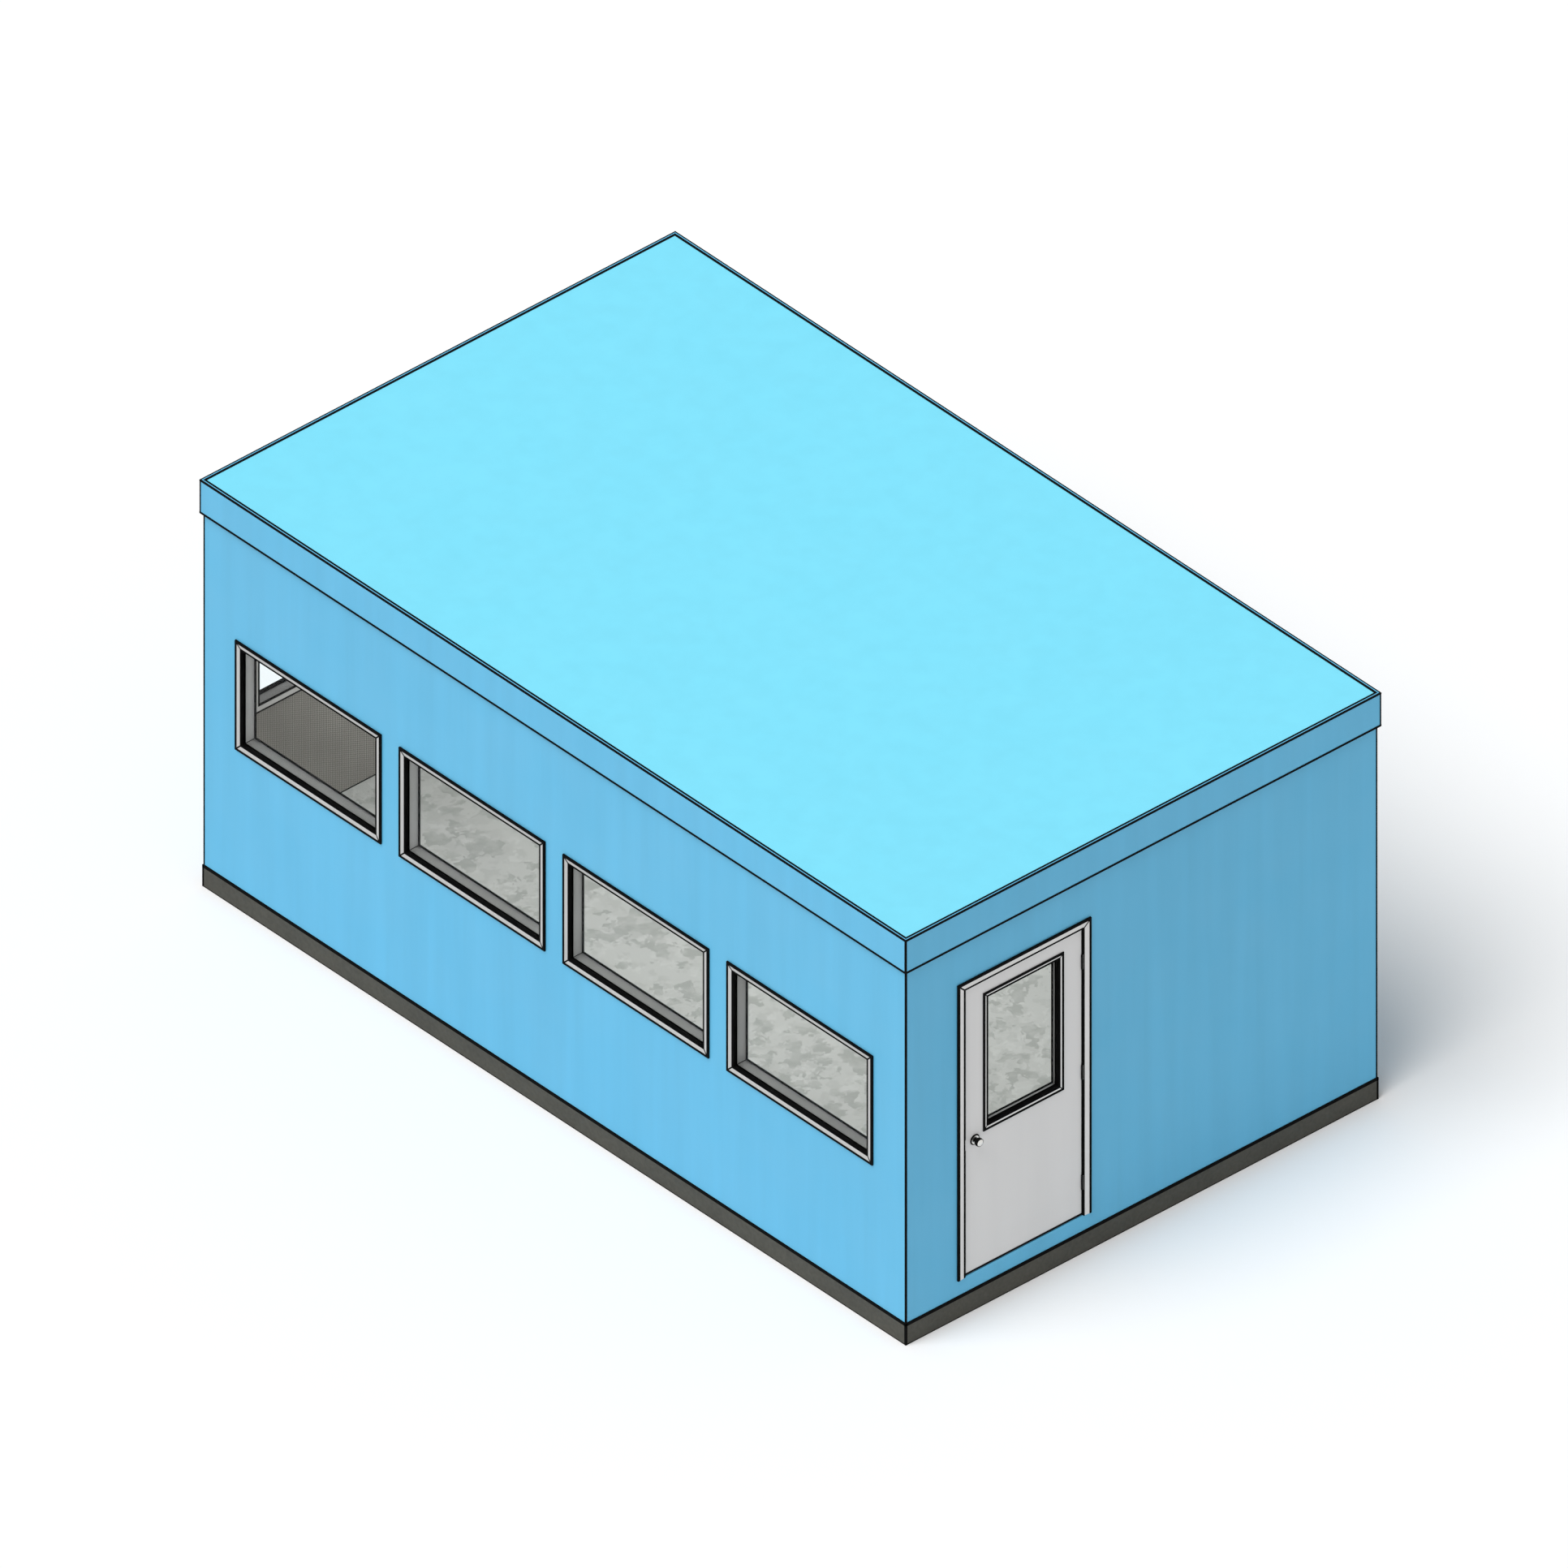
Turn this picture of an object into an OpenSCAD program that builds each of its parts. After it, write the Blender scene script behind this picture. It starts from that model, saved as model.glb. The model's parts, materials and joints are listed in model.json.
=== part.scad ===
// Modular office building: a one-room, flat-roofed cabin on a steel base frame.
// Millimetres. +X runs along the length towards the door end, the long front with
// its row of windows faces -Y, and +Z is up. The origin is under the middle of the
// footprint, on the ground.

/* [Building] */
// Length over the wall faces
length = 6096; // [5700:0.1:9000]
// Width over the wall faces
width = 3657.6; // [3300:0.1:4800]
// Height from the ground to the top of the fascia
height = 2895.6; // [2820:0.1:3400]

/* [Base frame] */
// Depth of the steel channels that the walls stand on
base_h = 152.4; // [120:0.1:220]
// How far the channels stand proud of the wall faces
base_proud = 5; // [1:0.5:20]
// Width of a channel's flanges
flange_w = 76; // [50:1:100]
// Thickness of a channel's flanges
flange_t = 9; // [5:0.5:14]
// Thickness of a channel's web
web_t = 7; // [4:0.5:12]
// Number of joists between the long channels, odd so that one is at the middle
joist_count = 5; // [3:2:9]
// Width of a joist's flanges
joist_w = 60; // [40:1:100]

/* [Floor] */
// Thickness of the floor panel between the walls
deck_t = 96; // [60:1:140]
// Thickness of the vinyl covering on it
covering_t = 4; // [2:0.5:8]

/* [Walls] */
// Thickness of the wall panels
wall_t = 90; // [70:1:120]
// Thickness of the lining on the room side
lining_t = 12; // [8:1:20]

/* [Roof] */
// Height of the fascia boards
fascia_h = 236; // [180:1:300]
// Thickness of the fascia boards
fascia_t = 16; // [10:1:30]
// How far the fascia reaches down over the wall panels
fascia_lap = 32.8; // [10:0.1:80]
// How far the fascia's top laps over the edge of the roof panel
rim_lap = 8; // [2:0.5:40]
// Height of the fascia's rim above the roof sheet
roof_lip = 3; // [1:0.5:12]
// Thickness of the roof sheet
sheet_t = 6; // [2:0.5:12]
// Thickness of the ceiling panel
ceiling_t = 25; // [15:1:50]

/* [Windows] */
// Distance from a corner of the building to the middle of the nearest window
window_corner = 914.4; // [800:0.1:1100]
// Narrowest strip of wall between two windows; a wall holds as many as this lets in
pier_w = 150; // [80:1:300]
// Clear width of a window inside its trim
window_w = 1174; // [800:1:1240]
// Clear height of a window inside its trim
window_h = 686; // [500:1:900]
// Height of a window's clear bottom edge above the finished floor
window_sill = 924.6; // [700:0.1:1050]
// Face width of the window trim
trim_w = 38; // [25:1:60]
// How far the trim's outer edge stands proud
trim_proud = 11; // [9:0.5:18]
// How far the trim's inner edge stands proud
trim_dish = 5; // [3:0.5:7]
// Thickness of the frame liner in the wall opening
liner_t = 12; // [6:0.5:18]
// Gap round the liner, behind the trim
rough_gap = 3; // [0.5:0.5:8]
// Thickness of the panes
glass_t = 6; // [4:0.5:10]
// Depth of the panes behind the wall face
glass_set = 15; // [10:0.5:40]
// Width of the glazing gasket as seen from the front
gasket_w = 10; // [5:0.5:14]

/* [Door set] */
// Distance from the front wall's face to the middle of the doorway
door_corner = 914.4; // [800:0.1:1400]
// Width of the door leaf
leaf_w = 904; // [800:1:1000]
// Height of the door leaf
leaf_h = 2032; // [1900:1:2200]
// Thickness of the door leaf
leaf_t = 44.5; // [40:0.5:50]
// Depth of the leaf's face behind the wall face
leaf_set = 5; // [2:0.5:12]
// Gap between the leaf and the latch jamb
latch_gap = 7; // [6.5:0.5:10]
// Gap between the leaf and the hinge jamb
hinge_gap = 6; // [5.5:0.5:8]
// Gap above the leaf, below it and behind it
leaf_gap = 5; // [5:0.5:10]
// Height of the sill under the doorway, above the finished floor
door_sill = 11.6; // [4:0.1:40]
// Thickness of the threshold plate
threshold_t = 4; // [2:0.5:10]
// Face width of the door casing
casing_w = 50.8; // [40:0.1:70]
// How far the casing's outer edge stands proud
casing_proud = 11; // [9:0.5:18]
// How far the casing's inner edge stands proud
casing_dish = 6; // [4:0.5:8]
// Thickness of the jambs
jamb_t = 16; // [12:0.5:25]
// Width of the door stop
stop_w = 14; // [10:0.5:20]

/* [Door light] */
// Clear width of the glass in the door
lite_w = 559; // [400:1:620]
// Clear height of the glass in the door
lite_h = 916; // [700:1:980]
// Depth of the glass's clear bottom edge below the top of the leaf
lite_sill = 1041; // [1000:1:1072]
// Face width of the trim round the glass
lite_trim_w = 26; // [20:1:40]
// How far that trim's outer edge stands proud of the leaf
lite_proud = 6; // [4:0.5:10]
// How far that trim's inner edge stands proud of the leaf
lite_dish = 2; // [1:0.5:3]
// How far the trim on the room side of the leaf stands proud
lite_back_proud = 16; // [6:0.5:24]
// Thickness of the liner round the glass
lite_liner_t = 8; // [5:0.5:12]

/* [Door hardware] */
// Height of the knob above the bottom of the leaf
knob_h = 931; // [850:1:945]
// Distance from the knob to the latch edge of the leaf
backset = 76; // [65:1:90]
// Diameter of the knob
knob_d = 54; // [44:1:60]
// Reach of the neck from the rose's face to the back of the knob
knob_reach = 2; // [1:0.5:10]
// Diameter of the flat on the knob's face
knob_face_d = 34; // [24:1:40]
// Diameter of the key plug in that flat
key_plug_d = 19.4; // [12:0.1:22]
// Diameter of the knob's neck
neck_d = 22; // [16:1:28]
// Diameter of the roses
rose_d = 67; // [60:1:75]
// Thickness of the roses
rose_t = 8; // [5:0.5:10]
// Height of a hinge
hinge_h = 101.6; // [80:0.1:120]
// Diameter of a hinge barrel
barrel_d = 12; // [10:0.5:12.5]
// Diameter of a hinge pin
pin_d = 6; // [5:0.5:7]
// Width of a hinge plate
plate_w = 38; // [28:1:42]
// Distance from the leaf's ends to the nearest hinge's middle
hinge_end = 230; // [150:1:350]

/* [Hidden] */
$fn = 48;
eps = 1;
wall_skin = "#71C0E8";
trim_skin = "#C6C6C4";
black_skin = "#141414";

// Height of the floor, the walls and the roof
deck_z = base_h;
floor_z = base_h + deck_t + covering_t;
fascia_z = height - fascia_h;
wall_top = fascia_z + fascia_lap;
sheet_z = height - roof_lip - sheet_t;
shell_t = wall_t + lining_t;

// Window rows, as distances from the middle of their wall
function gaps_in(run) = floor(run / (window_w + 2 * trim_w + pier_w));
function row(run) = gaps_in(run) < 1 ? [0]
    : [for (i = [0 : gaps_in(run)]) run * (i / gaps_in(run) - 1 / 2)];
long_row = row(length - 2 * window_corner);
end_row = row(width - 2 * window_corner);
window_z = floor_z + window_sill;
hole_margin = liner_t + rough_gap;
trim_rim = 2;
gasket_front = 3;
gasket_lip = 6;
gasket_web = 2;
pane_gap = 0.3;

// Doorway
door_y = -width / 2 + door_corner;
half_door = (leaf_w + latch_gap + hinge_gap) / 2;
sill_z = floor_z + door_sill;
leaf_z = sill_z + threshold_t + leaf_gap;
head_z = leaf_z + leaf_h + leaf_gap;
rough_head = head_z + jamb_t + rough_gap;
stop_y = leaf_set + leaf_t + leaf_gap;
rough_half = half_door + jamb_t + rough_gap;
threshold_set = 8;
flute_w = 4;
flute_d = 1.2;
flute_pitch = 12;
nose_w = 10;
latch_edge = -half_door + latch_gap;
hinge_edge = half_door - hinge_gap;
leaf_mid = (latch_edge + hinge_edge) / 2;
lite_z = leaf_z + leaf_h - lite_sill;
lite_margin = lite_liner_t + rough_gap;
lite_glass_set = (leaf_t - glass_t) / 2;
lite_gasket_w = 9;
lite_back_dish = lite_back_proud - (lite_proud - lite_dish);

// Knob and hinges
knob_x = latch_edge + backset;
knob_z = leaf_z + knob_h;
knob_mid = rose_t + knob_reach + knob_d / 2;
knob_flat = sqrt(knob_d * knob_d - knob_face_d * knob_face_d) / 2;
running_gap = 0.1;
rose_lap = 6.5;
lock_bore = rose_d - 2 * rose_lap;
key_plug_h = 1.2;
key_slot = [9, 1.8];
turn_button = [15, 4, 7];
plate_t = 2.4;
barrel_gap = 0.5;
plate_gap = 0.2;
pin_x = half_door - barrel_gap - barrel_d / 2;
pin_y = leaf_set - barrel_gap - barrel_d / 2;
plate_top = leaf_set + plate_gap;
knuckles = 5;
knuckle_gap = 0.4;
hinge_rows = [leaf_z + hinge_end, leaf_z + leaf_h / 2, leaf_z + leaf_h - hinge_end];

// Each wall is drawn in its own elevation: x along the wall as seen from outside,
// y inwards from the wall's outer face, z up.
module on_front() { translate([0, -width / 2, 0]) children(); }
module on_back() { translate([0, width / 2, 0]) rotate(180) children(); }
module on_left() { translate([-length / 2, 0, 0]) rotate(-90) children(); }
module on_right() { translate([length / 2, 0, 0]) rotate(90) children(); }
module on_door() { on_right() translate([door_y, 0, 0]) children(); }

// A box from one corner to another
module box(low, high) { translate(low) cube(high - low); }

// A shape given in elevation (x, z), drawn from one depth to another
module in_elevation(y0, y1) {
    translate([0, y1, 0]) rotate([90, 0, 0]) linear_extrude(y1 - y0) children();
}

// A section given as (y, z), run along x
module along_x(x0, x1) {
    translate([x0, 0, 0]) rotate([90, 0, 90]) linear_extrude(x1 - x0) children();
}

// A rectangular ring round a clear opening that stands on z = 0
module ring(w, h, face, y0, y1) {
    difference() {
        box([-w / 2 - face, y0, -face], [w / 2 + face, y1, h + face]);
        box([-w / 2, y0 - eps, 0], [w / 2, y1 + eps, h]);
    }
}

// A mitred trim on the face y = 0: its outer edge stands out, its inner edge lies lower
module dished_trim(w, h, face, proud, dish) {
    run = (face - trim_rim) / (proud - dish);
    mouth = face - trim_rim + run * eps;
    throat = run * eps;
    difference() {
        ring(w, h, face, -proud, 0);
        intersection() {
            translate([0, 0, -2 * face]) linear_extrude(h + 4 * face)
                polygon([[-w / 2 - mouth, -proud - eps], [w / 2 + mouth, -proud - eps],
                         [w / 2 - throat, -dish + eps], [-w / 2 + throat, -dish + eps]]);
            along_x(-w / 2 - 2 * face, w / 2 + 2 * face)
                polygon([[-proud - eps, -mouth], [-proud - eps, h + mouth],
                         [-dish + eps, h - throat], [-dish + eps, throat]]);
        }
    }
}

// Steel base frame
module channel_section(w, web) {
    polygon([[0, 0], [w, 0], [w, flange_t], [web, flange_t], [web, base_h - flange_t],
             [w, base_h - flange_t], [w, base_h], [0, base_h]]);
}

module base_rail(span) {
    end = span / 2 + base_proud;
    intersection() {
        translate([0, -base_proud, 0]) along_x(-end, end) channel_section(flange_w, web_t);
        linear_extrude(base_h)
            polygon([[-end, -base_proud], [end, -base_proud],
                     [end - flange_w, flange_w - base_proud], [-end + flange_w, flange_w - base_proud]]);
    }
}

module steel() { color("#50504A") children(); }
module base_rail_front() { steel() on_front() base_rail(length); }
module base_rail_back() { steel() on_back() base_rail(length); }
module base_rail_left() { steel() on_left() base_rail(width); }
module base_rail_right() { steel() on_right() base_rail(width); }

module joist() {
    tip = width / 2 + base_proud - flange_w;
    seat = width / 2 + base_proud - web_t;
    rotate(90) translate([0, -joist_w / 2, 0]) union() {
        along_x(-tip, tip) channel_section(joist_w, joist_w / 2);
        box([-seat, 0, flange_t], [seat, joist_w / 2, base_h - flange_t]);
    }
}

module floor_joists() {
    pitch = length / (joist_count + 1);
    steel() for (i = [1 : joist_count]) translate([i * pitch - length / 2, 0, 0]) joist();
}

// Floor
module room_slab(z0, z1) {
    box([-length / 2 + shell_t, -width / 2 + shell_t, z0], [length / 2 - shell_t, width / 2 - shell_t, z1]);
}

module floor_deck() { color("#A58B63") room_slab(deck_z, deck_z + deck_t); }
module floor_covering() { color("#BBBEBB") room_slab(deck_z + deck_t, floor_z); }

// Walls and linings
module window_holes(centres, y0, y1) {
    for (x = centres)
        box([x - window_w / 2 - hole_margin, y0 - eps, window_z - hole_margin],
            [x + window_w / 2 + hole_margin, y1 + eps, window_z + window_h + hole_margin]);
}

module wall_layer(span, centres, y0, y1) {
    difference() {
        box([-span / 2, y0, base_h], [span / 2, y1, wall_top]);
        window_holes(centres, y0, y1);
    }
}

module paint() { color(wall_skin) children(); }
module front_wall() { paint() on_front() wall_layer(length, long_row, 0, wall_t); }
module back_wall() { paint() on_back() wall_layer(length, long_row, 0, wall_t); }
module left_wall() { paint() on_left() wall_layer(width - 2 * wall_t, end_row, 0, wall_t); }

module right_wall_front_panel() {
    paint() on_right()
        box([-width / 2 + wall_t, 0, base_h], [door_y - rough_half, wall_t, wall_top]);
}

module right_wall_back_panel() {
    paint() on_right()
        box([door_y + rough_half, 0, base_h], [width / 2 - wall_t, wall_t, wall_top]);
}

module right_wall_header() {
    paint() on_door() box([-rough_half, 0, rough_head], [rough_half, wall_t, wall_top]);
}

module right_wall_sill() {
    paint() on_door() box([-rough_half, 0, base_h], [rough_half, wall_t, sill_z]);
}

module vinyl() { color("#8B8780") children(); }
module front_lining() { vinyl() on_front() wall_layer(length - 2 * wall_t, long_row, wall_t, shell_t); }
module back_lining() { vinyl() on_back() wall_layer(length - 2 * wall_t, long_row, wall_t, shell_t); }
module left_lining() { vinyl() on_left() wall_layer(width - 2 * shell_t, end_row, wall_t, shell_t); }

module right_lining() {
    vinyl() difference() {
        on_right() wall_layer(width - 2 * shell_t, [], wall_t, shell_t);
        on_door() box([-rough_half, wall_t - eps, sill_z], [rough_half, shell_t + eps, rough_head]);
    }
}

// Ceiling and roof
module roof_slab(z0, z1, inset = 0) {
    box([-length / 2 + inset, -width / 2 + inset, z0], [length / 2 - inset, width / 2 - inset, z1]);
}

module ceiling_panel() { color("#E6E6E2") roof_slab(wall_top, wall_top + ceiling_t); }
module roof_panel() { color("#D8D6CC") roof_slab(wall_top + ceiling_t, sheet_z); }
module roof_sheet() { color("#86E6FF") roof_slab(sheet_z, sheet_z + sheet_t, rim_lap); }

// A board down the face of the wall with a rim that laps over the roof panel, mitred at its ends
module fascia(span) {
    end = span / 2 + fascia_t;
    inner_end = span / 2 - rim_lap;
    paint() intersection() {
        along_x(-end, end)
            polygon([[-fascia_t, fascia_z], [0, fascia_z], [0, sheet_z], [rim_lap, sheet_z],
                     [rim_lap, height], [-fascia_t, height]]);
        linear_extrude(height)
            polygon([[-end, -fascia_t], [end, -fascia_t], [inner_end, rim_lap], [-inner_end, rim_lap]]);
    }
}

module fascia_front() { on_front() fascia(length); }
module fascia_back() { on_back() fascia(length); }
module fascia_left() { on_left() fascia(width); }
module fascia_right() { on_right() fascia(width); }

// Windows: a flanged frame through the wall, an inner trim, a gasket and a pane
module each_window(centres) {
    for (x = centres) translate([x, 0, window_z]) children();
}

module window_frame() {
    union() {
        dished_trim(window_w, window_h, trim_w, trim_proud, trim_dish);
        ring(window_w, window_h, liner_t, -trim_dish / 2, shell_t);
    }
}

module inner_trim() {
    translate([0, shell_t, window_h]) rotate([180, 0, 0])
        dished_trim(window_w, window_h, trim_w, trim_proud, trim_dish);
}

module channel_gasket(w, h, band, front, set) {
    difference() {
        ring(w - 2 * band, h - 2 * band, band, front, set + glass_t + gasket_lip);
        translate([0, 0, -band])
            box([-w / 2 + gasket_web, set, gasket_web], [w / 2 - gasket_web, set + glass_t, h - gasket_web]);
    }
}

module pane(w, h, set) {
    edge = gasket_web + pane_gap;
    box([-w / 2 + edge, set, edge], [w / 2 - edge, set + glass_t, h - edge]);
}

module window_gasket() {
    translate([0, 0, gasket_w]) channel_gasket(window_w, window_h, gasket_w, -gasket_front, glass_set);
}

module trim_paint() { color(trim_skin) children(); }
module glazing() { color("#C9DCE0", 0.35) children(); }
module front_window_frames() { trim_paint() on_front() each_window(long_row) window_frame(); }
module back_window_frames() { trim_paint() on_back() each_window(long_row) window_frame(); }
module left_window_frames() { trim_paint() on_left() each_window(end_row) window_frame(); }

module window_inner_trims() {
    trim_paint() {
        on_front() each_window(long_row) inner_trim();
        on_back() each_window(long_row) inner_trim();
        on_left() each_window(end_row) inner_trim();
    }
}

module window_gaskets() {
    color(black_skin) {
        on_front() each_window(long_row) window_gasket();
        on_back() each_window(long_row) window_gasket();
        on_left() each_window(end_row) window_gasket();
    }
}

module front_window_glass() { glazing() on_front() each_window(long_row) pane(window_w, window_h, glass_set); }
module back_window_glass() { glazing() on_back() each_window(long_row) pane(window_w, window_h, glass_set); }
module left_window_glass() { glazing() on_left() each_window(end_row) pane(window_w, window_h, glass_set); }

// Door frame: one section, mitred where the jambs meet the head.
// The section is given as (r, y), with r outwards from the clear opening.
frame_section = [
    [0, -casing_dish], [casing_w - trim_rim, -casing_proud], [casing_w, -casing_proud],
    [casing_w, 0], [jamb_t, 0], [jamb_t, shell_t], [casing_w, shell_t],
    [casing_w, shell_t + casing_proud], [casing_w - trim_rim, shell_t + casing_proud],
    [-stop_w, shell_t + casing_dish], [-stop_w, stop_y], [0, stop_y]
];

module jamb(side) {
    intersection() {
        translate([0, 0, sill_z]) linear_extrude(head_z + casing_w - sill_z)
            polygon([for (p = frame_section) [side * (half_door + p[0]), p[1]]]);
        in_elevation(-casing_proud - eps, shell_t + casing_proud + eps)
            polygon([[side * (half_door - stop_w - eps), sill_z - eps],
                     [side * (half_door + casing_w + eps), sill_z - eps],
                     [side * (half_door + casing_w + eps), head_z + casing_w + eps],
                     [side * (half_door - stop_w - eps), head_z - stop_w - eps]]);
    }
}

module door_latch_jamb() { trim_paint() on_door() jamb(-1); }
module door_hinge_jamb() { trim_paint() on_door() jamb(1); }

module door_head() {
    trim_paint() on_door() intersection() {
        along_x(-half_door - casing_w, half_door + casing_w)
            polygon([for (p = frame_section) [p[1], head_z + p[0]]]);
        in_elevation(-casing_proud - eps, shell_t + casing_proud + eps)
            polygon([[-half_door - casing_w - eps, head_z + casing_w + eps],
                     [half_door + casing_w + eps, head_z + casing_w + eps],
                     [half_door - stop_w - eps, head_z - stop_w - eps],
                     [-half_door + stop_w + eps, head_z - stop_w - eps]]);
    }
}

module door_threshold() {
    top = sill_z + threshold_t;
    color("#B4B6B8") on_door() difference() {
        translate([0, 0, sill_z]) linear_extrude(threshold_t)
            polygon([[-half_door, threshold_set], [half_door, threshold_set], [half_door, stop_y],
                     [half_door - stop_w, stop_y], [half_door - stop_w, shell_t],
                     [-half_door + stop_w, shell_t], [-half_door + stop_w, stop_y], [-half_door, stop_y]]);
        for (y = [threshold_set + 2 * nose_w : flute_pitch : shell_t - flute_pitch])
            box([-half_door - eps, y, top - flute_d], [half_door + eps, y + flute_w, top + eps]);
        along_x(-half_door - eps, half_door + eps)
            polygon([[threshold_set - eps, sill_z + threshold_t / 2], [threshold_set + nose_w, top],
                     [threshold_set + nose_w, top + eps], [threshold_set - eps, top + eps]]);
    }
}

// Door leaf and its glazing
module on_lite() { on_door() translate([leaf_mid, leaf_set, lite_z]) children(); }

module on_knob() { on_door() translate([knob_x, leaf_set, knob_z]) rotate([90, 0, 0]) children(); }

module door_leaf() {
    color("#C5C5C5") difference() {
        on_door() box([latch_edge, leaf_set, leaf_z], [hinge_edge, leaf_set + leaf_t, leaf_z + leaf_h]);
        on_lite() box([-lite_w / 2 - lite_margin, -eps, -lite_margin],
                      [lite_w / 2 + lite_margin, leaf_t + eps, lite_h + lite_margin]);
        on_knob() translate([0, 0, -leaf_t - eps]) cylinder(d = lock_bore, h = leaf_t + 2 * eps);
    }
}

module door_lite_frame() {
    trim_paint() on_lite() {
        union() {
            dished_trim(lite_w, lite_h, lite_trim_w, lite_proud, lite_dish);
            ring(lite_w, lite_h, lite_liner_t, -lite_dish / 2, leaf_t - pane_gap);
        }
        translate([0, leaf_t, lite_h]) rotate([180, 0, 0])
            dished_trim(lite_w, lite_h, lite_trim_w, lite_back_proud, lite_back_dish);
    }
}

module door_lite_gasket() {
    color(black_skin) on_lite() translate([0, 0, lite_gasket_w])
        channel_gasket(lite_w, lite_h, lite_gasket_w, 0, lite_glass_set);
}

module door_lite_glass() { glazing() on_lite() pane(lite_w, lite_h, lite_glass_set); }

// Knob set: the neck turns in a rose on each face of the leaf
module rose() {
    rim = rose_t / 2;
    difference() {
        union() {
            cylinder(d = rose_d, h = rim);
            translate([0, 0, rim]) cylinder(d1 = rose_d, d2 = (rose_d + neck_d) / 2, h = rose_t - rim);
        }
        translate([0, 0, -eps]) cylinder(d = neck_d + 2 * running_gap, h = rose_t + 2 * eps);
    }
}

module both_faces() {
    children();
    translate([0, 0, -leaf_t]) mirror([0, 0, 1]) children();
}

module door_knob_roses() { color("#B9B7B0") on_knob() both_faces() rose(); }

module knob_grip() {
    intersection() {
        translate([0, 0, knob_mid]) sphere(d = knob_d);
        cylinder(d = knob_d + 2 * eps, h = knob_mid + knob_flat);
    }
}

module door_knob() {
    face = knob_mid + knob_flat;
    color("#B9B7B0") on_knob() difference() {
        union() {
            translate([0, 0, -leaf_t - knob_mid]) cylinder(d = neck_d, h = leaf_t + 2 * knob_mid);
            both_faces() knob_grip();
            translate([0, 0, face - eps]) cylinder(d = key_plug_d, h = key_plug_h + eps);
            box([-turn_button[0] / 2, -turn_button[1] / 2, -leaf_t - face - turn_button[2]],
                [turn_button[0] / 2, turn_button[1] / 2, -leaf_t - face + eps]);
        }
        box([-key_slot[1] / 2, -key_slot[0] / 2, face - key_plug_h],
            [key_slot[1] / 2, key_slot[0] / 2, face + 2 * key_plug_h]);
    }
}

// Butt hinges: the frame's plate carries the pin and the odd knuckles
module knuckle(i) {
    step = hinge_h / knuckles;
    translate([pin_x, pin_y, i * step + knuckle_gap / 2])
        cylinder(d = barrel_d, h = step - knuckle_gap);
}

module knuckle_tab(i, x0, x1, reach) {
    step = hinge_h / knuckles;
    box([x0, reach, i * step + knuckle_gap / 2], [x1, plate_top + eps, (i + 1) * step - knuckle_gap / 2]);
}

module each_hinge() {
    for (z = hinge_rows) translate([0, 0, z - hinge_h / 2]) children();
}

module door_frame_hinges() {
    color("#B9B7B0") on_door() each_hinge() union() {
        box([half_door - plate_t, plate_top, 0], [half_door, plate_top + plate_w, hinge_h]);
        for (i = [0 : 2 : knuckles - 1]) {
            knuckle(i);
            knuckle_tab(i, half_door - plate_t, half_door, pin_y);
        }
        translate([pin_x, pin_y, knuckle_gap / 2]) cylinder(d = pin_d, h = hinge_h - knuckle_gap);
    }
}

module door_leaf_hinges() {
    color("#B9B7B0") on_door() each_hinge() difference() {
        union() {
            box([hinge_edge, plate_top, 0], [hinge_edge + plate_t, plate_top + plate_w, hinge_h]);
            for (i = [1 : 2 : knuckles - 1]) {
                knuckle(i);
                knuckle_tab(i, hinge_edge, hinge_edge + plate_t, pin_y);
            }
        }
        translate([pin_x, pin_y, -eps]) cylinder(d = pin_d + 2 * running_gap, h = hinge_h + 2 * eps);
    }
}

base_rail_front();
base_rail_back();
base_rail_left();
base_rail_right();
floor_joists();
floor_deck();
floor_covering();
front_wall();
back_wall();
left_wall();
right_wall_front_panel();
right_wall_back_panel();
right_wall_header();
right_wall_sill();
front_lining();
back_lining();
left_lining();
right_lining();
ceiling_panel();
roof_panel();
roof_sheet();
fascia_front();
fascia_back();
fascia_left();
fascia_right();
front_window_frames();
back_window_frames();
left_window_frames();
window_inner_trims();
window_gaskets();
front_window_glass();
back_window_glass();
left_window_glass();
door_latch_jamb();
door_hinge_jamb();
door_head();
door_threshold();
door_frame_hinges();
door_leaf();
door_leaf_hinges();
door_lite_frame();
door_lite_gasket();
door_lite_glass();
door_knob_roses();
door_knob();
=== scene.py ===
"""Looks of a modular office building: finishes, seals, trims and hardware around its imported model."""
import json
import math

import bmesh
import bpy
from mathutils import Matrix, Vector

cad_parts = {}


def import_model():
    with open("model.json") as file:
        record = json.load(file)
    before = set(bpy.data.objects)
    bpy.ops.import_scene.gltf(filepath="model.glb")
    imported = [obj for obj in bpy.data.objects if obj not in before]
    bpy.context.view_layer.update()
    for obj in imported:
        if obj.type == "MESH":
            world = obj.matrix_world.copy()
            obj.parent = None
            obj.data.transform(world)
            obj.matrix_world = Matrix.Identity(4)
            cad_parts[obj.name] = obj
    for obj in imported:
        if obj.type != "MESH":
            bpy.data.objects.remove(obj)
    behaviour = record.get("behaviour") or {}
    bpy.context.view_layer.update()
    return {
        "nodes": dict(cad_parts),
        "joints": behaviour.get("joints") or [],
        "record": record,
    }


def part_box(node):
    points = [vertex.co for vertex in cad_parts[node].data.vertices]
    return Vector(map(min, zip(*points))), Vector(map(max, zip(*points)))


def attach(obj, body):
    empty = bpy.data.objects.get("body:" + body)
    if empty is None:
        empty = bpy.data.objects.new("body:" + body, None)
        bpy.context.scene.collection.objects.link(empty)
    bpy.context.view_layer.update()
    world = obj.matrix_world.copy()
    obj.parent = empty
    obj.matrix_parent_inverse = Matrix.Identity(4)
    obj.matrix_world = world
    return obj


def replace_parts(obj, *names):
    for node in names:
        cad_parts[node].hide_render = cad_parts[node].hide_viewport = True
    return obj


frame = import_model()
nodes = frame["nodes"]

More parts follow.
